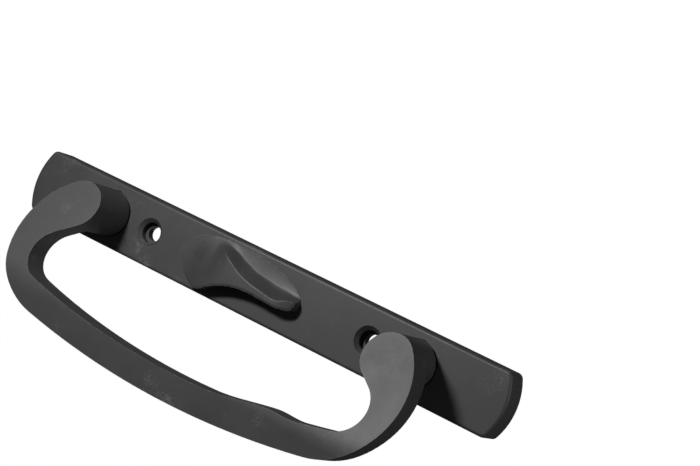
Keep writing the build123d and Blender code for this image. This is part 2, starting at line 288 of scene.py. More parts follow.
class HandlingScuffs(SurfaceGroup):
    """Pale rub marks and hairline scratches in loose patches."""

    name = "handling_scuffs"
    inputs = {"Patch Scale": 60.0, "Patch Low": 0.52, "Patch High": 0.72}
    outputs = ("Rub", "Scratch")

    def fill(self, sheet: NodeSheet, given: Any, place: Socket) -> dict[str, Socket]:
        """Break patches up with specks and stretched noise, as SurfaceGroup.fill says."""
        patches = sheet.noise("patches", place, Scale=given["Patch Scale"], Detail=4.0,
                              Roughness=0.6)
        patch = sheet.band(patches, given["Patch Low"], given["Patch High"], "patch edge")
        specks = sheet.noise("specks", place, Scale=1400.0, Detail=4.0, Roughness=0.75)
        speck = sheet.band(specks, 0.45, 0.68, "speck edge")
        turned = sheet.add("ShaderNodeMapping", "scratch run", place)
        turned.inputs["Rotation"].default_value = (0.3, 0.9, 0.2)
        turned.inputs["Scale"].default_value = (900.0, 900.0, 45.0)
        lines = sheet.noise("scratch lines", turned.outputs["Vector"], Scale=1.0, Detail=1.0)
        line = sheet.band(lines, 0.66, 0.74, "scratch edge")
        return {"Rub": sheet.math("MULTIPLY", "rub", patch, speck),
                "Scratch": sheet.math("MULTIPLY", "scratch", line, patch)}


class EdgeRubAndHighlight(SurfaceGroup):
    """Where a piece's edges are, for coat that is rubbed thin on them and for a painted highlight
    along them.
    """

    name = "edge_rub_and_highlight"
    inputs = {"Width": 0.0006, "Breakup": 500.0}
    outputs = ("Edge",)

    def fill(self, sheet: NodeSheet, given: Any, place: Socket) -> dict[str, Socket]:
        """Compare the rounded normal with the plain one, as SurfaceGroup.fill says."""
        rounded = sheet.add("ShaderNodeBevel", "rounded edges", samples=6, Radius=given["Width"])
        plain = sheet.add("ShaderNodeNewGeometry", "plain surface")
        dot = sheet.add("ShaderNodeVectorMath", "agreement", rounded.outputs["Normal"],
                        plain.outputs["Normal"], operation="DOT_PRODUCT")
        edge = sheet.band(dot.outputs["Value"], 0.995, 0.9, "edge")
        gaps = sheet.noise("breakup", place, Scale=given["Breakup"], Detail=4.0, Roughness=0.7)
        gap = sheet.band(gaps, 0.4, 0.62, "breakup edge")
        return {"Edge": sheet.math("MULTIPLY", "broken edge", edge, gap)}


class LocalMottle(SurfaceGroup):
    """Specks within reach of one place, for a rub or a dull patch that a piece has only there."""

    name = "local_mottle"
    inputs = {"Across": 0.0, "Depth": 0.0, "Up": 0.0, "Reach": 0.01}
    outputs = ("Share",)

    def fill(self, sheet: NodeSheet, given: Any, place: Socket) -> dict[str, Socket]:
        """Fade specks out with the distance from the place, as SurfaceGroup.fill says."""
        centre = sheet.add("ShaderNodeCombineXYZ", "centre", given["Across"], given["Depth"],
                           given["Up"])
        away = sheet.add("ShaderNodeVectorMath", "distance", place, centre.outputs[0],
                         operation="DISTANCE")
        near = sheet.band(away.outputs["Value"], 0.0, given["Reach"], "nearness",
                          To_Min=1.0, To_Max=0.0)
        specks = sheet.noise("specks", place, Scale=650.0, Detail=5.0, Roughness=0.7)
        speck = sheet.band(specks, 0.42, 0.62, "speck edge")
        return {"Share": sheet.math("MULTIPLY", "share", near, speck)}


@dataclass(frozen=True)
class Patch:
    """A worn place: its middle in metres, how far it reaches, and how strongly it shows."""

    middle: Point
    reach: float
    strength: float

    def share(self, sheet: NodeSheet) -> Socket:
        """Put the patch into a material.

        Args:
            sheet: the material's nodes.

        Returns:
            How far each place belongs to the patch, from 0 to 1.
        """
        across, depth, up = self.middle
        group = LocalMottle().use(sheet, Across=across, Depth=depth, Up=up, Reach=self.reach)
        return sheet.math("MULTIPLY", "patch share", group.outputs["Share"], self.strength)


@dataclass(frozen=True)
class Finish:
    """What all the finishes have: a grain as a bump, and a roughness that follows a mask."""

    name: str
    smooth: float
    rough: float
    peel_scale: float
    grain_scale: float
    bump_strength: float
    bump_height: float

    def build(self) -> Material:
        """Make the material.

        Returns:
            The finished material.
        """
        material = bpy.data.materials.new(self.name)
        material.use_nodes = True
        sheet = NodeSheet(material.node_tree)
        shader = material.node_tree.nodes["Principled BSDF"].inputs
        grain = CoatGrain().use(sheet, Peel_Scale=self.peel_scale, Grain_Scale=self.grain_scale)
        self.fill(sheet, shader, grain.outputs["Cloud"])
        bump = sheet.add("ShaderNodeBump", "grain", Strength=self.bump_strength,
                         Distance=self.bump_height, Height=grain.outputs["Height"])
        sheet.feed(bump.outputs["Normal"], shader["Normal"])
        return material

    def fill(self, sheet: NodeSheet, shader: Any, cloud: Socket) -> None:
        """Give the shader its colour and its roughness.

        Args:
            sheet: the material's nodes.
            shader: the shader's inputs by name.
            cloud: a slow cloud of tone.
        """
        raise NotImplementedError

    def roughness(self, sheet: NodeSheet, dullness: Socket) -> Socket:
        """Let the roughness follow a mask.

        Args:
            sheet: the material's nodes.
            dullness: 0 where the surface is smoothest, 1 where it is roughest.

        Returns:
            The roughness.
        """
        return sheet.add("ShaderNodeMapRange", "roughness", dullness, To_Min=self.smooth,
                         To_Max=self.rough).outputs["Result"]


@dataclass(frozen=True)
class SatinCoat(Finish):
    """Baked satin-black coat over a zinc casting: scuffed, lighter along its edges as rubbed coat
    and a painted highlight, with rougher patches darkened as painted shade.
    """

    base: Rgb = (0.030, 0.030, 0.031)
    # Lighter colour of rubbed coat; along the edges it is also a painted highlight.
    rub_and_highlight: Rgb = (0.16, 0.16, 0.165)
    dark_share: float = 0.8
    light_share: float = 1.2
    # Share of the base colour inside the dull patches: a painted shade.
    dull_and_shaded_share: float = 0.35
    specular: float = 0.36
    rub_strength: float = 0.5
    edge_strength: float = 0.4
    patch_low: float = 0.55
    patch_high: float = 0.75
    pale: tuple[Patch, ...] = ()
    dull_and_shaded: tuple[Patch, ...] = ()

    def fill(self, sheet: NodeSheet, shader: Any, cloud: Socket) -> None:
        """Colour the coat by its tone, its marks and its patches, as Finish.fill says."""
        sheet.feed(self.specular, shader["Specular IOR Level"])
        tone = sheet.mix("coat tone", cloud, self.shade(self.dark_share),
                         self.shade(self.light_share))
        marks = self.marks(sheet)
        dullest: Any = 0.0
        # Dull patches: a rougher coat, and a darker colour that is painted shade.
        for patch in self.dull_and_shaded:
            share = patch.share(sheet)
            tone = sheet.mix("dulled tone", share, tone, self.shade(self.dull_and_shaded_share))
            dullest = sheet.math("MAXIMUM", "roughness of patches", dullest, share)
        sheet.feed(sheet.mix("coat colour", marks, tone, self.rub_and_highlight), shader["Base Color"])
        rough = self.roughness(sheet, sheet.math("ADD", "dullness", cloud, marks))
        rough = sheet.math("MAXIMUM", "roughness with patches", rough, dullest)
        sheet.feed(rough, shader["Roughness"])

    def shade(self, share: float) -> Rgb:
        """Return the base colour times a share."""
        return tuple(channel * share for channel in self.base)

    def marks(self, sheet: NodeSheet) -> Socket:
        """Gather the rubs, the scratches, the lighter edges of rubbed coat and painted highlight,
        and the pale patches.

        Args:
            sheet: the material's nodes.

        Returns:
            Where the coat is rubbed, and along the edges painted lighter as a highlight, from 0 to
            1.
        """
        scuffs = HandlingScuffs().use(sheet, Patch_Low=self.patch_low, Patch_High=self.patch_high)
        # Lighter coat along convex edges: partly rubbed-thin coat, partly a painted edge
        # highlight.
        edge = EdgeRubAndHighlight().use(sheet).outputs["Edge"]
        marks = sheet.math("MULTIPLY", "edge share", edge, self.edge_strength)
        for kind in ("Rub", "Scratch"):
            share = sheet.math("MULTIPLY", kind, scuffs.outputs[kind], self.rub_strength)
            marks = sheet.math("MAXIMUM", "marks", marks, share)
        for patch in self.pale:
            marks = sheet.math("MAXIMUM", "marks and patches", marks, patch.share(sheet))
        return marks


@dataclass(frozen=True)
class CloudyFinish(Finish):
    """A finish between two tones, bright and rubbed if it is a metal."""

    dark: Rgb
    light: Rgb
    metallic: float = 0.0
    rub_scale: float = 200.0

    def fill(self, sheet: NodeSheet, shader: Any, cloud: Socket) -> None:
        """Let the tone and the roughness follow the cloud, as Finish.fill says."""
        sheet.feed(self.metallic, shader["Metallic"])
        tone = sheet.mix("tone", cloud, self.dark, self.light)
        if self.metallic:
            rub = HandlingScuffs().use(sheet, Patch_Scale=self.rub_scale).outputs["Rub"]
            tone = sheet.mix("dulled tone", rub, tone, self.dark)
        sheet.feed(tone, shader["Base Color"])
        sheet.feed(self.roughness(sheet, cloud), shader["Roughness"])


CASTINGS_COAT = SatinCoat(
    "castings_coat", smooth=0.45, rough=0.62, peel_scale=900.0, grain_scale=4200.0,
    bump_strength=0.35, bump_height=0.00003,
    pale=(Patch((-0.0115, -0.0098, 0.0465), 0.005, 0.4),
          Patch((-0.0065, -0.0098, 0.0525), 0.0045, 0.35),
          Patch((-0.010, -0.0098, 0.060), 0.004, 0.3)),
    # Dull patches on the lower head and on the plate above the lever: a rougher coat that dulls
    # the lamp's glare, and a darker colour that is painted shade.
    dull_and_shaded=(Patch((0.0, -0.033, -0.0715), 0.016, 0.5),
          Patch((0.003, -0.0102, 0.026), 0.006, 0.5)))
PLATED_STEEL = CloudyFinish(
    "plated_steel_finish", smooth=0.28, rough=0.48, peel_scale=300.0, grain_scale=2600.0,
    bump_strength=0.2, bump_height=0.00002, dark=(0.46, 0.46, 0.45), light=(0.66, 0.66, 0.64),
    metallic=1.0)
MOULDED_PLASTIC = CloudyFinish(
    "bushing_finish", smooth=0.42, rough=0.6, peel_scale=1500.0, grain_scale=5000.0,
    bump_strength=0.3, bump_height=0.00002, dark=(0.035, 0.035, 0.035), light=(0.06, 0.06, 0.06))


class Bench:
    """The modelling bench: Blender's own tools, each with what it acts on chosen in code."""

    @staticmethod
    def clear() -> None:
        """Leave edit mode and deselect everything."""
        if bpy.context.object and bpy.context.object.mode != "OBJECT":
            bpy.ops.object.mode_set(mode="OBJECT")
        bpy.ops.object.select_all(action="DESELECT")

    @staticmethod
    def name(name: str) -> Piece:
        """Name the new piece and its mesh.

        Args:
            name: the name.

        Returns:
            The piece.
        """
        piece = bpy.context.active_object
        piece.name = name
        piece.data.name = name
        return piece

    @staticmethod
    def pick(piece: Piece) -> None:
        """Select one piece alone and make it the active one.

        Args:
            piece: the piece.
        """
        Bench.clear()
        piece.select_set(True)
        bpy.context.view_layer.objects.active = piece

    @staticmethod
    def settle(piece: Piece) -> None:
        """Put the piece's place, turn and scale into its mesh."""
        Bench.pick(piece)
        bpy.ops.object.transform_apply(location=True, rotation=True, scale=True)

    @staticmethod
    def rod(name: str, centre: Point, radius: float, length: float, sides: int = 96,
            turn: Point = (math.pi / 2, 0.0, 0.0)) -> Piece:
        """Add a round rod, which lies along Y unless it is turned.

        Args:
            name: the rod's name.
            centre: its middle.
            radius: its radius, in mm.
            length: its length, in mm.
            sides: how many sides it has.
            turn: how it is turned from standing up.

        Returns:
            The rod, with its place in its mesh.
        """
        Bench.clear()
        bpy.ops.mesh.primitive_cylinder_add(vertices=sides, radius=radius / METRE,
                                            depth=length / METRE, location=centre, rotation=turn)
        rod = Bench.name(name)
        Bench.settle(rod)
        return rod

    @staticmethod
    def block(name: str, centre: Point, size: Point) -> Piece:
        """Add a block.

        Args:
            name: the block's name.
            centre: its middle.
            size: its size, in mm.

        Returns:
            The block, with its place in its mesh.
        """
        Bench.clear()
        bpy.ops.mesh.primitive_cube_add(size=1.0, location=centre,
                                        scale=[side / METRE for side in size])
        block = Bench.name(name)
        Bench.settle(block)
        return block

    @staticmethod
    def edit(piece: Piece) -> None:
        """Go into edit mode on a piece with all of it selected.

        Args:
            piece: the piece.
        """
        Bench.pick(piece)
        bpy.ops.object.mode_set(mode="EDIT")
        bpy.ops.mesh.select_mode(type="VERT")
        bpy.ops.mesh.select_all(action="SELECT")

    @staticmethod
    def turn_outwards() -> None:
        """Turn all faces of the piece that is being edited outwards, and leave edit mode."""
        bpy.ops.mesh.select_all(action="SELECT")
        bpy.ops.mesh.normals_make_consistent(inside=False)
        bpy.ops.object.mode_set(mode="OBJECT")

    @staticmethod
    def finish(piece: Piece, modifier: bpy.types.Modifier) -> None:
        """Apply a modifier to a piece."""
        Bench.pick(piece)
        bpy.ops.object.modifier_apply(modifier=modifier.name)

    @staticmethod
    def combine(piece: Piece, tool: Piece, join: Join = Join.DIFFERENCE) -> None:
        """Cut a tool from a piece, or join the two, and use the tool up.

        Args:
            piece: the piece that stays.
            tool: the piece that is used up.
            join: how the two are combined.
        """
        modifier = piece.modifiers.new("combine", "BOOLEAN")
        modifier.operation = join.value
        modifier.object = tool
        modifier.solver = "EXACT"
        Bench.finish(piece, modifier)
        bpy.data.objects.remove(tool, do_unlink=True)

    @staticmethod
    def shift(piece: Piece, axis: str, distance: float, share: Callable[[Vector], float]) -> None:
        """Move a piece's points along an axis, each by its own share of a distance.

        Args:
            piece: the piece.
            axis: X, Y or Z.
            distance: the distance at a share of 1, in mm.
            share: gives a place its share, from 0 to 1.
        """
        Bench.clear()
        group = piece.vertex_groups.new(name="share")
        for vertex in piece.data.vertices:
            group.add([vertex.index], share(vertex.co), "REPLACE")
        modifier = piece.modifiers.new("shift", "DISPLACE")
        modifier.direction = axis
        modifier.mid_level = 0.0
        modifier.strength = distance / METRE
        modifier.vertex_group = group.name
        Bench.finish(piece, modifier)
        piece.vertex_groups.clear()

    @staticmethod
    def smooth(piece: Piece, angle: float = 40.0) -> None:
        """Merge doubles, turn the faces outwards and shade the piece smooth.

        Args:
            piece: the piece.
            angle: the sharpest edge that is still shaded smooth, in degrees.
        """
        Bench.edit(piece)
        bpy.ops.mesh.remove_doubles(threshold=DOUBLES)
        Bench.turn_outwards()
        bpy.ops.object.shade_smooth_by_angle(angle=math.radians(angle))

    @staticmethod
    def flatten_shading(piece: Piece) -> None:
        """Let large flat faces shade flat, so that only the roundings turn the light.

        Args:
            piece: the piece.
        """
        modifier = piece.modifiers.new("flat_faces", "WEIGHTED_NORMAL")
        modifier.mode = "FACE_AREA"
        modifier.keep_sharp = True
        Bench.finish(piece, modifier)


def on_door(down: float, across: float, height: float) -> Point:
    """Return the place that lies so far down the door, across it and in front of it, from mm."""
    return (across / METRE, -height / METRE, -down / METRE)


def bearing(start: Vector, end: Vector) -> float:
    """Return the direction from one point to another, in radians."""
    return math.atan2(end.y - start.y, end.x - start.x)


class Pen:
    """A point that is drawn along lines and round centres, and leaves an outline behind it."""

    def __init__(self, name: str, start: Vector, height: float, side: int = 1) -> None:
        """Put the pen down.

        Args:
            name: the outline's name.
            start: where it starts, down the door and across it, in mm.
            height: how far in front of the door it draws, in mm.
            side: 1 to draw down the door, -1 to draw the mirror image up it.
        """
        self.height = height
        self.side = side
        self.place = start.copy()
        Bench.clear()
        location = on_door(side * start.x, start.y, height)
        bpy.ops.mesh.primitive_plane_add(size=0.001, location=location)
        self.piece = Bench.name(name)
        Bench.settle(self.piece)
        Bench.edit(self.piece)
        bpy.ops.mesh.merge(type="CENTER")

    def line(self, end: Vector) -> None:
        """Draw a straight line to a point."""
        step = on_door(self.side * (end.x - self.place.x), end.y - self.place.y, 0.0)
        bpy.ops.mesh.extrude_region_move(TRANSFORM_OT_translate={"value": step})
        self.place = end.copy()

    def arc(self, centre: Vector, turn: float, steps: int) -> None:
        """Draw an arc.

        Args:
            centre: the arc's centre.
            turn: the angle to turn by, in radians, from down the door towards across it.
            steps: how many straight pieces the arc has.
        """
        axis = (0.0, self.side * math.copysign(1.0, turn), 0.0)
        middle = on_door(self.side * centre.x, centre.y, self.height)
        bpy.ops.mesh.spin(steps=steps, angle=abs(turn), center=middle, axis=axis)
        arm = self.place - centre
        arm.rotate(Matrix.Rotation(turn, 2))
        self.place = centre + arm

    @staticmethod
    def fill(piece: Piece, depth: float) -> None:
        """Close an outline, fill it and extrude it towards the door.

        Args:
            piece: the outline.
            depth: how far to extrude it, in mm.
        """
        Bench.edit(piece)
        bpy.ops.mesh.remove_doubles(threshold=OUTLINE_DOUBLES)
        bpy.ops.mesh.select_all(action="SELECT")
        bpy.ops.mesh.edge_face_add()
        bpy.ops.mesh.extrude_region_move(TRANSFORM_OT_translate={"value": (0, depth / METRE, 0)})
        Bench.turn_outwards()


@dataclass
class PullCasting:
    """The pull: a flat ribbon bent round two elbows, its heads seated on two round posts.

    The outline is drawn in the door's plane, down the door and across it. Heights are distances
    in front of the door. Lengths are in mm until they go into the mesh.
    """

    half_posts: float = 69.4
    post_radius: float = 9.0
    outer_reach: float = 46.9
    outer_radius: float = 333.0
    inner_reach: float = 36.7
    inner_radius: float = 300.0
    crown_shift: float = -2.5
    elbow_outer_radius: float = 27.7
    elbow_inner_radius: float = 9.75
    elbow_inner_offset: float = 64.4
    rest_start: float = 16.5
    rest_peak: float = 41.0
    rest_end: float = 53.2
    rest_rise: float = 1.55
    front_height: float = 44.0
    depth: float = 10.0
    flat_start: float = 35.6
    bend_radius: float = 25.0
    tilt: float = 21.0
    seat_height: float = 9.2
    post_overlap: float = 0.8
    post_play: float = 0.02
    bore_radius: float = 2.5
    bore_top: float = 24.9
    rounding: float = 1.15
    soft_rounding: float = 4.2
    soft_near: float = 11.0
    soft_far: float = 24.0
    joint_radius: float = 8.4
    joint_height: float = 11.2
    joint_margin: float = 1.0
    joint_play: float = 0.2
    level_edge: float = 0.01
    rounding_steps: int = 8
    bend_steps: int = 8
    bore_sides: int = 48
    steps: int = 26

    def corner_below(self, crown: float) -> Vector:
        """Return the centre of an elbow's inner arc.

        Args:
            crown: where the bar's crown lies, towards that elbow, from the middle.

        Returns:
            The centre, down the door and across it.
        """
        across = self.elbow_inner_offset - crown
        drop = math.sqrt((self.inner_radius - self.elbow_inner_radius) ** 2 - across ** 2)
        return Vector((self.elbow_inner_offset, self.inner_radius - self.inner_reach - drop))

    def draw_half(self, side: int) -> Piece:
        """Draw one half of the outline from the bar's outside round the head to its inside.

        Args:
            side: 1 for the half below the middle, -1 for the one above.

        Returns:
            The outline.
        """
        crown = side * self.crown_shift
        outer = Vector((crown, self.outer_radius - self.outer_reach))
        inner = Vector((crown, self.inner_radius - self.inner_reach))
        head = Vector((self.half_posts, 0))
        elbow = self.meeting(outer, self.outer_radius - self.elbow_outer_radius, head,
                             self.elbow_outer_radius - self.post_radius)
        corner = self.corner_below(crown)
        lean = math.acos((self.post_radius + self.elbow_inner_radius) / (corner - head).length)
        neck = bearing(head, corner) - lean
        outer_turn = bearing(outer, elbow)
        head_turn = bearing(elbow, head)
        inner_turn = bearing(inner, corner)
        straight_down = -math.pi / 2
        pen = Pen("pull_casting", outer + Vector((0, -self.outer_radius)), self.front_height, side)
        pen.arc(outer, outer_turn - straight_down, 2 * self.steps)
        pen.arc(elbow, head_turn - outer_turn, self.steps)
        pen.arc(head, neck + 2 * math.pi - head_turn, self.steps)
        pen.line(corner - self.elbow_inner_radius * Vector((math.cos(neck), math.sin(neck))))
        pen.arc(corner, inner_turn - neck - math.pi, self.steps)
        pen.arc(inner, straight_down - inner_turn, 3 * self.steps)
        return pen.piece

    @staticmethod
    def meeting(first: Vector, first_reach: float, second: Vector, second_reach: float) -> Vector:
        """Find a point by its distances from two centres.

        Args:
            first: the first centre.
            first_reach: the distance from it.
            second: the second centre.
            second_reach: the distance from that.

        Returns:
            The point that lies on the outer side of the centres' line.
        """
        gap = (second - first).length
        corner = math.acos(
            (first_reach ** 2 + gap ** 2 - second_reach ** 2) / (2 * first_reach * gap))
        turn = bearing(first, second) - corner
        return first + first_reach * Vector((math.cos(turn), math.sin(turn)))

    def rest_share(self, place: Vector) -> float:
        """Say how much of the thumb rest's low swelling a place of the outline gets.

        Args:
            place: the place in the mesh, in metres.

        Returns:
            The share, from 0 to 1.
        """
        down, across = -place.z * METRE, place.x * METRE
        middle = -(self.inner_reach + self.outer_reach) / 2
        if across < middle or not self.rest_start < down < self.rest_end:
            return 0.0
        if down < self.rest_peak:
            return smooth_step(self.rest_start, self.rest_peak, down)
        return smooth_step(self.rest_end, self.rest_peak, down)

    def front(self, across: float) -> float:
        """Say how high the front face lies.

        Args:
            across: place across the door.

        Returns:
            The height there.
        """
        tilt = math.radians(self.tilt)
        bend_end = -self.flat_start + self.bend_radius * math.sin(tilt)
        if across <= -self.flat_start:
            return self.front_height
        if across <= bend_end:
            rise = math.sqrt(self.bend_radius ** 2 - (across + self.flat_start) ** 2)
            return self.front_height - self.bend_radius + rise
        fall = self.bend_radius * (1 - math.cos(tilt))
        return self.front_height - fall - (across - bend_end) * math.tan(tilt)

    def build(self) -> Piece:
        """Model the pull.

        Returns:
            The finished piece.
        """
        grip = self.draw_half(1)
        other = self.draw_half(-1)
        Bench.clear()
        other.select_set(True)
        grip.select_set(True)
        bpy.context.view_layer.objects.active = grip
        bpy.ops.object.join()
        Bench.shift(grip, "X", self.rest_rise, self.rest_share)
        Pen.fill(grip, self.depth)
        self.round_rims(grip)
        self.cut_across(grip)
        fall = self.front_height - self.front(self.post_radius)

        def share(place: Vector) -> float:
            """Return how far a place sinks, as a share of the lowest one's fall."""
            return (self.front_height - self.front(place.x * METRE)) / fall

        Bench.shift(grip, "Y", fall, share)
        for side in (-1, 1):
            self.add_post(grip, side)
        Bench.smooth(grip)
        Bench.flatten_shading(grip)
        return grip

    def round_rims(self, grip: Piece) -> None:
        """Round the rims, and more softly at the front of the elbows' insides.

        Args:
            grip: the flat ribbon.
        """
        weights = grip.data.attributes.new("bevel_weight_edge", "FLOAT", "EDGE")
        for edge in grip.data.edges:
            first, second = (grip.data.vertices[index].co for index in edge.vertices)
            if abs(first.y - second.y) < self.level_edge / METRE:
                weights.data[edge.index].value = self.rim_share((first + second) / 2)
        modifier = grip.modifiers.new("rounding", "BEVEL")
        modifier.width = self.soft_rounding / METRE
        modifier.segments = self.rounding_steps
        modifier.limit_method = "WEIGHT"
        Bench.finish(grip, modifier)

    def rim_share(self, place: Vector) -> float:
        """Say how much a rim is rounded.

        Args:
            place: the middle of one of its edges in the mesh, in metres.

        Returns:
            The rounding there, as a share of the softest.
        """
        plain = self.rounding / self.soft_rounding
        if -place.y * METRE < self.front_height - self.depth / 2:
            return plain
        side = 1 if place.z < 0 else -1
        corner = self.corner_below(side * self.crown_shift)
        away = (Vector((-side * place.z * METRE, place.x * METRE)) - corner).length
        return plain + (1.0 - plain) * smooth_step(self.soft_far, self.soft_near, away)

    def cut_across(self, grip: Piece) -> None:
        """Cut the ribbon across where it bends, so that the bend and the incline stay true.

        Args:
            grip: the flat ribbon.
        """
        run = self.bend_radius * math.sin(math.radians(self.tilt))
        for step in range(self.bend_steps + 1):
            place = on_door(0, -self.flat_start + run * step / self.bend_steps, 0)
            Bench.edit(grip)
            bpy.ops.mesh.bisect(plane_co=place, plane_no=(1, 0, 0))

    def add_post(self, grip: Piece, side: int) -> None:
        """Join one post to the back of its head, bore it for its screw and neck it.

        Args:
            grip: the bent ribbon.
            side: 1 for the post below the middle, -1 for the one above.
        """
        seat = self.seat_height
        down = side * self.half_posts
        top = self.front(-self.post_radius) - self.depth + self.post_overlap
        post = Bench.rod("post", on_door(down, 0, (seat + top) / 2),
                         self.post_radius - self.post_play, top - seat, 4 * self.steps)
        Bench.combine(grip, post, Join.UNION)
        bore = Bench.rod("bore", on_door(down, 0, seat), self.bore_radius,
                         2 * (self.bore_top - seat), self.bore_sides)
        Bench.combine(grip, bore)
        middle = on_door(down, 0, (seat + self.joint_height) / 2)
        length = self.joint_height - seat
        joint = Bench.rod("joint", middle, self.post_radius + self.joint_margin,
                          length + self.joint_play)
        core = Bench.rod("core", middle, self.joint_radius, 2 * length)
        Bench.combine(joint, core)
        Bench.combine(grip, joint)


def through(points: Curve, at: float) -> float:
    """Read a smooth curve that goes through a few points.

    Args:
        points: the points, from the lowest place to the highest.
        at: the place to read it at.

    Returns:
        The curve's value there, level beyond its ends.
    """
    if at <= points[0][0]:
        return points[0][1]
    if at >= points[-1][0]:
        return points[-1][1]
    last = len(points) - 1
    index = max(i for i in range(last) if points[i][0] <= at)
    slopes = []
    for i in (index, index + 1):
        before, after = points[max(i - 1, 0)], points[min(i + 1, last)]
        slopes.append((after[1] - before[1]) / (after[0] - before[0]))
    (left, low), (right, high) = points[index], points[index + 1]
    width = right - left
    t = (at - left) / width
    ends = low * (2 * t ** 3 - 3 * t ** 2 + 1) + high * (3 * t ** 2 - 2 * t ** 3)
    return ends + width * (slopes[0] * (t ** 3 - 2 * t ** 2 + t) + slopes[1] * (t ** 3 - t ** 2))


def smooth_step(start: float, end: float, at: float) -> float:
    """Blend from 0 to 1.

    Args:
        start: where the share is 0.
        end: where it is 1, above or below the start.
        at: the place to read it at.

    Returns:
        The share, level beyond both ends.
    """
    share = min(max((at - start) / (end - start), 0.0), 1.0)
    return share * share * (3 - 2 * share)


def blend_low(first: float, second: float, reach: float) -> float:
    """Return the lower of two heights, rounded over where they meet."""
    overlap = max(reach - abs(first - second), 0.0) / reach
    return min(first, second) - overlap * overlap * reach / 4


def blend_high(first: float, second: float, reach: float) -> float:
    """Return the higher of two heights, hollowed where they meet."""
    return -blend_low(-first, -second, reach)


@dataclass(frozen=True)
class Shaft:
    """The lever's round shaft, with the cuts for the parts that it carries, in mm.

    Heights are distances in front of the door.
    """

    end_height: float = 1.0
    overlap: float = 0.1
    radius: float = 4.75
    groove_height: float = 2.7
    groove_radius: float = 9.5
    groove_width: float = 0.8
    core_radius: float = 3.8
    core_length: float = 2.0
    flat_middle: float = 7.75
    flat_height: float = 1.1
    flat_size: Point = (8.0, 6.0, 20.0)
    slot_height: float = 3.0
    slot_size: Point = (2.2, 10.0, 5.2)
    pin_height: float = 6.6
    pin_radius: float = 1.04
    pin_length: float = 19.0
    pin_sides: int = 32

    def build(self, down: float, top: float) -> Piece:
        """Model the shaft with its groove, its flat, its slot and the pin's bore.

        Args:
            down: how far down the door its axis lies.
            top: the height of the lever's back, which it reaches into.

        Returns:
            The shaft.
        """
        top += self.overlap
        shaft = Bench.rod("shaft", on_door(down, 0, (self.end_height + top) / 2),
                          self.radius, top - self.end_height)
        middle = on_door(down, 0, self.groove_height)
        groove = Bench.rod("groove", middle, self.groove_radius, self.groove_width)
        Bench.combine(groove, Bench.rod("core", middle, self.core_radius, self.core_length))
        flat = Bench.block("flat", on_door(down, self.flat_middle, self.flat_height),
                           self.flat_size)
        slot = Bench.block("slot", on_door(down, 0, self.slot_height), self.slot_size)
        bore = Bench.rod("bore", on_door(down, 0, self.pin_height), self.pin_radius,
                         self.pin_length, self.pin_sides, (0.0, math.pi / 2, 0.0))
        for tool in (groove, flat, slot, bore):
            Bench.combine(shaft, tool)
        return shaft


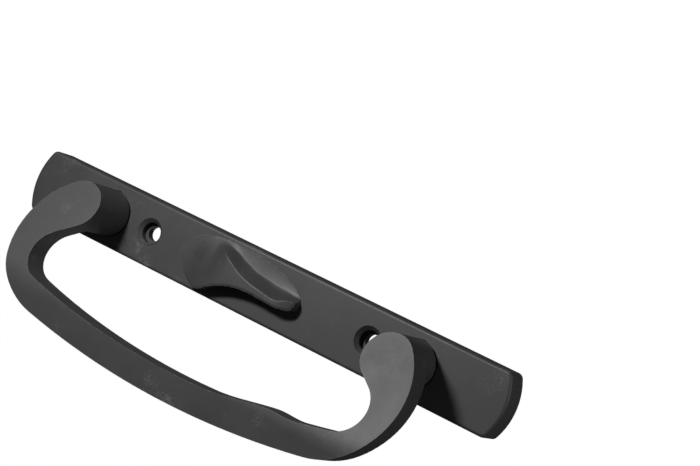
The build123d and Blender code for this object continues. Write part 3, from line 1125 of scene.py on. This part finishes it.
@dataclass
class ThumbLever:
    """The thumb turn: a thin curved blade on an oval hub, on the shaft that turns in the plate.

    Places on it are given down the door from the pivot and across the door, in mm.
    """

    pivot: float = 16.0
    base: float = 10.12
    cell: float = 0.28
    lip: Curve = (
        (-18.3, 0.0), (-16.6, -4.3), (-12.7, -7.5), (-9.2, -9.5), (-5.4, -10.5), (-2.0, -9.8),
        (0.8, -8.1), (5.2, -5.7), (9.7, -4.2), (14.5, -3.3), (19.6, -3.1), (24.6, -3.3),
        (29.6, -3.5), (33.3, -3.2), (35.5, -2.3), (36.2, -0.4))
    foot: Curve = (
        (36.0, 1.6), (34.0, 4.0), (29.5, 6.6), (22.3, 8.9), (11.9, 10.3), (0.0, 10.5),
        (-9.0, 9.2), (-15.0, 5.9))
    crest: Curve = (
        (-9.0, 8.3), (-5.0, 7.8), (-1.2, 7.0), (2.6, 6.2), (7.1, 4.2), (11.8, 2.0), (17.3, 0.4),
        (23.3, -0.5), (28.8, -1.1), (31.0, -0.6), (33.0, 0.4), (36.5, 1.0))
    crease: Curve = (
        (-8.0, 9.6), (-1.0, 9.1), (4.7, 7.8), (9.1, 6.2), (14.6, 4.5), (20.7, 3.4), (25.4, 2.2),
        (30.0, 1.8), (36.5, 1.8))
    ridge: Curve = (
        (-18.4, 0.12), (-15.0, 0.35), (-12.0, 0.95), (-9.0, 2.1), (-6.0, 3.7), (-2.0, 5.4),
        (3.0, 6.4), (10.0, 6.9), (20.0, 6.9), (29.5, 6.8), (32.5, 6.0), (36.5, 4.3))
    low_share: float = 0.3
    low_most: float = 0.6
    low_tip: float = 0.9
    flank_power: float = 1.8
    crease_reach: float = 0.7
    crease_reach_tip: float = 3.4
    crest_reach: float = 0.5
    hub_start: float = -4.0
    hub_end: float = 6.0
    hub_power: float = 1.6
    tip_start: float = 17.0
    tip_end: float = 28.0
    foot_height: float = 0.12
    edge_radius: float = 0.8
    least_width: float = 0.3
    most_flank: float = 2.0
    curve_steps: int = 8
    block_length: float = 58.0
    block_width: float = 24.0
    block_middle: float = 9.0
    block_height: float = 12.0
    block_drop: float = 20.0
    highest: float = 8.0
    smooth_angle: float = 35.0
    shaft: Shaft = Shaft()

    def outline(self) -> list[Vector]:
        """Draw the smooth closed outline.

        Returns:
            Points of it, down the door and across it.
        """
        knots = [Vector(point) for point in self.lip + self.foot]
        count = len(knots)
        points: list[Vector] = []
        for i in range(count):
            before, start, end, after = (knots[(i + k) % count] for k in (-1, 0, 1, 2))
            near, far = start + (end - before) / 6, end - (after - start) / 6
            points += interpolate_bezier(start, near, far, end, self.curve_steps)[:-1]
        return points

    def height(self, down: float, across: float, rim: list[Vector]) -> float:
        """Return the height of the lever's top above its back.

        Args:
            down: place down the door from the pivot.
            across: place across the door.
            rim: points of the outline.

        Returns:
            The height.
        """
        ridge = through(self.ridge, down)
        crest = through(self.crest, down)
        crease = through(self.crease, down)
        tip = smooth_step(self.tip_start, self.tip_end, down)
        low = min(self.low_share * ridge, self.low_most + (self.low_tip - self.low_most) * tip)
        wall = ridge - (across - crest) * (ridge - low) / (crease - crest)
        foot = through(tuple(reversed(self.foot)), down)
        share = (foot - across) / max(foot - crease, self.least_width)
        share = min(max(share, 0.0), self.most_flank)
        flank = self.foot_height + (low - self.foot_height) * share ** self.flank_power
        reach = self.crease_reach + (self.crease_reach_tip - self.crease_reach) * tip
        blade = blend_low(ridge, blend_high(wall, min(flank, ridge), reach), self.crest_reach)
        lip = through(self.lip, down)
        inward = min(max((across - lip) / max(foot - lip, self.least_width), 0.0), 1.0)
        hub = ridge * (1.0 - inward ** self.hub_power)
        top = hub + (blade - hub) * smooth_step(self.hub_start, self.hub_end, down)
        near = min((point.x - down) ** 2 + (point.y - across) ** 2 for point in rim)
        inside = min(math.sqrt(near), self.edge_radius)
        radius = self.edge_radius
        drop = radius - math.sqrt(radius ** 2 - (radius - inside) ** 2)
        return max(top - drop * min(1.0, top / (2 * radius)), self.foot_height)

    def build(self) -> Piece:
        """Model the lever.

        Returns:
            The finished piece.
        """
        rim = self.outline()
        block = self.sculpted_block(rim)
        pen = Pen("lever_outline", self.from_origin(rim[0]), self.base + self.block_height)
        for point in rim[1:]:
            pen.line(self.from_origin(point))
        pen.line(self.from_origin(rim[0]))
        Pen.fill(pen.piece, self.block_height)
        Bench.combine(block, pen.piece, Join.INTERSECT)
        Bench.combine(block, self.shaft.build(-self.pivot, self.base), Join.UNION)
        Bench.smooth(block, self.smooth_angle)
        return block

    def from_origin(self, point: Vector) -> Vector:
        """Return a place measured from the handle's origin instead of the pivot."""
        return Vector((point.x - self.pivot, point.y))

    def sculpted_block(self, rim: list[Vector]) -> Piece:
        """Raise a fine grid to the lever's top and close it down to the lever's back.

        Args:
            rim: points of the outline.

        Returns:
            The block, which is wider than the outline.
        """
        length, width = self.block_length, self.block_width
        Bench.clear()
        bpy.ops.mesh.primitive_grid_add(
            x_subdivisions=round(width / self.cell), y_subdivisions=round(length / self.cell),
            size=1.0, location=on_door(self.block_middle - self.pivot, 0, self.base),
            rotation=(math.pi / 2, 0, 0))
        block = Bench.name("thumb_lever")
        block.scale = (width / METRE, length / METRE, 1.0)
        Bench.settle(block)

        def share(place: Vector) -> float:
            """Return the share of the highest height that a place of the grid rises to."""
            down, across = -place.z * METRE + self.pivot, place.x * METRE
            return self.height(down, across, rim) / self.highest

        Bench.shift(block, "Y", -self.highest, share)
        Bench.edit(block)
        drop = (0, self.block_drop / METRE, 0)
        bpy.ops.mesh.extrude_region_move(TRANSFORM_OT_translate={"value": drop})
        bpy.ops.transform.resize(value=(1, 0, 1), center_override=on_door(0, 0, self.base))
        Bench.turn_outwards()
        return block


@dataclass
class Handle:
    """All pieces of the handle: the plate and the small parts keep the frame's shapes."""

    nodes: dict[str, Piece]
    coat: Finish = CASTINGS_COAT
    steel: Finish = PLATED_STEEL
    plastic: Finish = MOULDED_PLASTIC
    steel_nodes: tuple[str, ...] = ("grip_screws", "lock_washers", "spring_washer", "stop_washer",
                                    "retaining_clip", "tailpiece", "tailpiece_pin")

    def build(self) -> None:
        """Give each piece its finish, and model the pull and the lever anew."""
        coat = self.coat.build()
        self.dress(coat, ("back_plate",))
        for piece, node, body in ((PullCasting().build(), "pull_grip", Body.HANDLE),
                                  (ThumbLever().build(), "thumb_turn", Body.LEVER)):
            piece.data.materials.append(coat)
            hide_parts(node)
            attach(piece, body.value)
            log.info("%s modelled: %d faces", piece.name, len(piece.data.polygons))
        self.dress(self.steel.build(), self.steel_nodes)
        self.dress(self.plastic.build(), ("pivot_bushing",))
        log.info("finishes given")

    def dress(self, material: Material, names: tuple[str, ...]) -> None:
        """Give a material to some of the frame's pieces."""
        for name in names:
            self.nodes[name].material_slots[0].material = material


@dataclass(frozen=True)
class Lamp:
    """A round soft lamp that shines at the handle's middle."""

    name: str
    towards: Point
    distance: float
    size: float
    power: float
    gloss: bool = True

    def build(self) -> None:
        """Hang the lamp."""
        data = bpy.data.lights.new(self.name, "AREA")
        data.shape = "DISK"
        data.size = self.size
        data.energy = self.power
        lamp = bpy.data.objects.new(self.name, data)
        bpy.context.scene.collection.objects.link(lamp)
        towards = Vector(self.towards).normalized()
        lamp.location = towards * self.distance
        lamp.visible_camera = False
        lamp.visible_glossy = self.gloss
        lamp.rotation_mode = "QUATERNION"
        lamp.rotation_quaternion = (-towards).to_track_quat("-Z", "Y")


@dataclass
class Studio:
    """Camera, lamp, white room and the pale surface behind the handle."""

    camera_place: Point = (0.0637, -0.6214, -0.3416)
    camera_right: Point = (0.4024, 0.4358, -0.8051)
    camera_up: Point = (0.9142, -0.1463, 0.3778)
    camera_back: Point = (0.0469, -0.8881, -0.4573)
    lens: float = 100.47
    nearest: float = 0.01
    key: Lamp = Lamp("key_lamp", (0.413, -0.871, 0.26), 0.334, 0.06, 1.4)
    fill: Lamp = Lamp("fill_lamp", (0.22, -0.2, -0.95), 0.6, 0.3, 1.15)
    rear: Lamp = Lamp("rear_lamp", (-0.33, 0.9, 0.22), 0.23, 0.1, 1.6, gloss=False)
    room_level: float = 0.06
    gloss_level: float = 0.05
    surface_albedo: float = 0.6
    surface_roughness: float = 0.8
    surface_depth: float = 0.25
    surface_size: float = 2.4
    shadow_share: float = 0.04
    surface_white: float = 1.03

    def build(self) -> None:
        """Set the camera, the lamps, the room and the surface."""
        bpy.context.scene.view_settings.view_transform = "Standard"
        self.build_camera()
        for lamp in (self.key, self.fill, self.rear):
            lamp.build()
        self.build_room()
        self.build_surface()

    def build_camera(self) -> None:
        """Place the camera where the photograph was taken from."""
        camera = bpy.data.objects.new("camera", bpy.data.cameras.new("camera"))
        bpy.context.scene.collection.objects.link(camera)
        camera.data.lens = self.lens
        axes = Matrix((self.camera_right, self.camera_up, self.camera_back)).transposed()
        camera.matrix_world = Matrix.Translation(self.camera_place) @ axes.to_4x4()
        camera.data.clip_start = self.nearest
        bpy.context.scene.camera = camera

    def build_room(self) -> None:
        """Make the room white to the camera, dim in gloss and a weak grey light."""
        world = bpy.data.worlds.new("white_room")
        bpy.context.scene.world = world
        world.use_nodes = True
        sheet = NodeSheet(world.node_tree)
        sky = world.node_tree.nodes["Background"].inputs
        sheet.feed((1.0, 1.0, 1.0), sky["Color"])
        seen, gloss, _ = self.rays(sheet)
        level = sheet.math("MAXIMUM", "room", gloss, self.room_level)
        sheet.feed(sheet.math("MAXIMUM", "white or dim", level, seen), sky["Strength"])

    def rays(self, sheet: NodeSheet) -> tuple[Socket, Socket, Socket]:
        """Tell the kinds of rays apart.

        Args:
            sheet: the nodes of the room or of the surface.

        Returns:
            Whether the camera sees the place directly, how bright it is in gloss, and whether
            it is seen in gloss.
        """
        rays = sheet.add("ShaderNodeLightPath", "rays").outputs
        seen = sheet.math("MAXIMUM", "seen directly", rays["Is Camera Ray"],
                          rays["Is Transmission Ray"])
        gloss = sheet.math("MULTIPLY", "seen in gloss", rays["Is Glossy Ray"], self.gloss_level)
        return seen, gloss, rays["Is Glossy Ray"]

    def build_surface(self) -> None:
        """Lay the pale surface behind the handle, open to a camera that stands behind it."""
        Bench.clear()
        bpy.ops.mesh.primitive_plane_add(size=self.surface_size, rotation=(math.pi / 2, 0, 0),
                                         location=(0, self.surface_depth, 0))
        surface = Bench.name("pale_surface")
        material = bpy.data.materials.new("pale_surface")
        material.use_nodes = True
        sheet = NodeSheet(material.node_tree)
        shader = material.node_tree.nodes["Principled BSDF"]
        output = material.node_tree.nodes["Material Output"]
        sheet.feed((self.surface_albedo,) * 3, shader.inputs["Base Color"])
        sheet.feed(self.surface_roughness, shader.inputs["Roughness"])
        seen, gloss, glossy = self.rays(sheet)
        blend = "ShaderNodeMixShader"
        white = sheet.add("ShaderNodeEmission", "white", Color=(self.surface_white,) * 3,
                          Strength=sheet.math("MAXIMUM", "white or dim", seen, gloss))
        share = sheet.math("MULTIPLY", "white share", seen, 1.0 - self.shadow_share)
        share = sheet.math("MAXIMUM", "unlit share", share, glossy)
        lit = sheet.add(blend, "lit or white", share, shader.outputs[0], white.outputs[0])
        side = sheet.add("ShaderNodeNewGeometry", "side").outputs["Backfacing"]
        clear = sheet.add("ShaderNodeBsdfTransparent", "clear")
        chosen = sheet.add(blend, "front or back", side, lit.outputs[0], clear.outputs[0])
        sheet.feed(chosen.outputs[0], output.inputs["Surface"])
        surface.data.materials.append(material)


def main() -> None:
    """Build and dress the handle in order, and light it."""
    logging.basicConfig(level=logging.INFO, format="%(message)s")
    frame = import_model()
    Handle(frame["nodes"]).build()
    Studio().build()
    log.info("studio lit")


if __name__ == "__main__":
    main()
